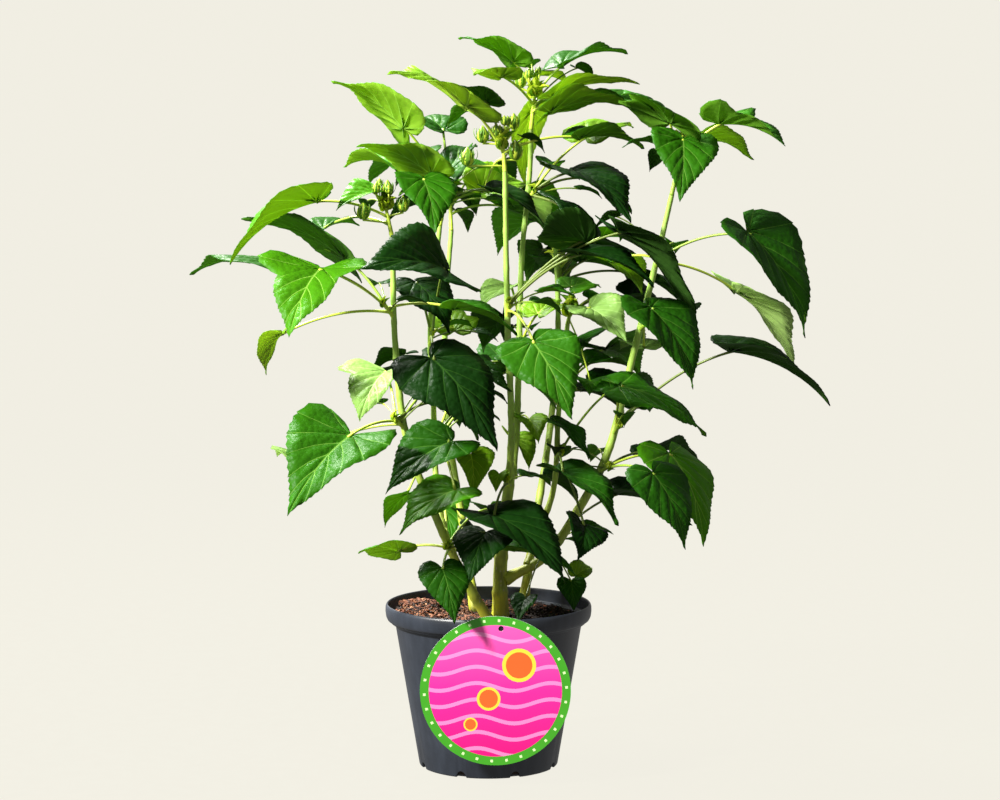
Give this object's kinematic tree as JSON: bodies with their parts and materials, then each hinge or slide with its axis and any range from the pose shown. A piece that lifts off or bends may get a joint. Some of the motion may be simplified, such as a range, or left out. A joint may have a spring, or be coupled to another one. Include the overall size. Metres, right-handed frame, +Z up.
{
  "type": "potted hibiscus shrub",
  "caption": "Leafy potted shrub: upright green canes with long-stalked heart-shaped leaves and small buds, in a round tapered nursery pot of bark compost with a round card label.",
  "frame": {"origin": "centre of the pot's flat underside, on the ground", "axes": "+Z up along the pot's axis; +X to the viewer's right and +Y away from the viewer when the label faces the viewer"},
  "size_m": [0.5909, 0.4556, 0.6659],
  "materials": {
    "pot_plastic": "smooth dark slate-grey moulded plastic with a soft sheen",
    "compost": "coarse, damp, red-brown composted bark",
    "label_card": "printed plastic card, glossy",
    "green_cane": "smooth young bark, yellow-green",
    "foliage": "satin leaf surface with paler veins"
  },
  "bodies": {
    "root": {"back_left_cane": "green_cane", "back_right_cane": "green_cane", "foliage_back_left_low": "foliage", "foliage_back_left_top": "foliage", "foliage_back_right_low": "foliage", "foliage_back_right_top": "foliage", "foliage_foot_left": "foliage", "foliage_foot_right": "foliage", "foliage_front_mid": "foliage", "foliage_left_lower": "foliage", "foliage_left_upper": "foliage", "foliage_low_front": "foliage", "foliage_low_right": "foliage", "foliage_mid_left_lower": "foliage", "foliage_mid_left_upper": "foliage", "foliage_mid_right": "foliage", "foliage_rear_low": "foliage", "foliage_rear_mid": "foliage", "foliage_rear_right": "foliage", "foliage_right_low": "foliage", "foliage_right_lower": "foliage", "foliage_right_mid": "foliage", "foliage_right_upper": "foliage", "foliage_top_front": "foliage", "foliage_top_left": "foliage", "foliage_top_left_rear": "foliage", "foliage_top_rear": "foliage", "foliage_top_right": "foliage", "front_cane": "green_cane", "label": "label_card", "left_cane": "green_cane", "left_rear_cane": "green_cane", "pot": "pot_plastic", "rear_cane": "green_cane", "right_cane": "green_cane", "right_rear_cane": "green_cane", "soil": "compost", "trunk": "green_cane"}
  },
  "joints": []
}
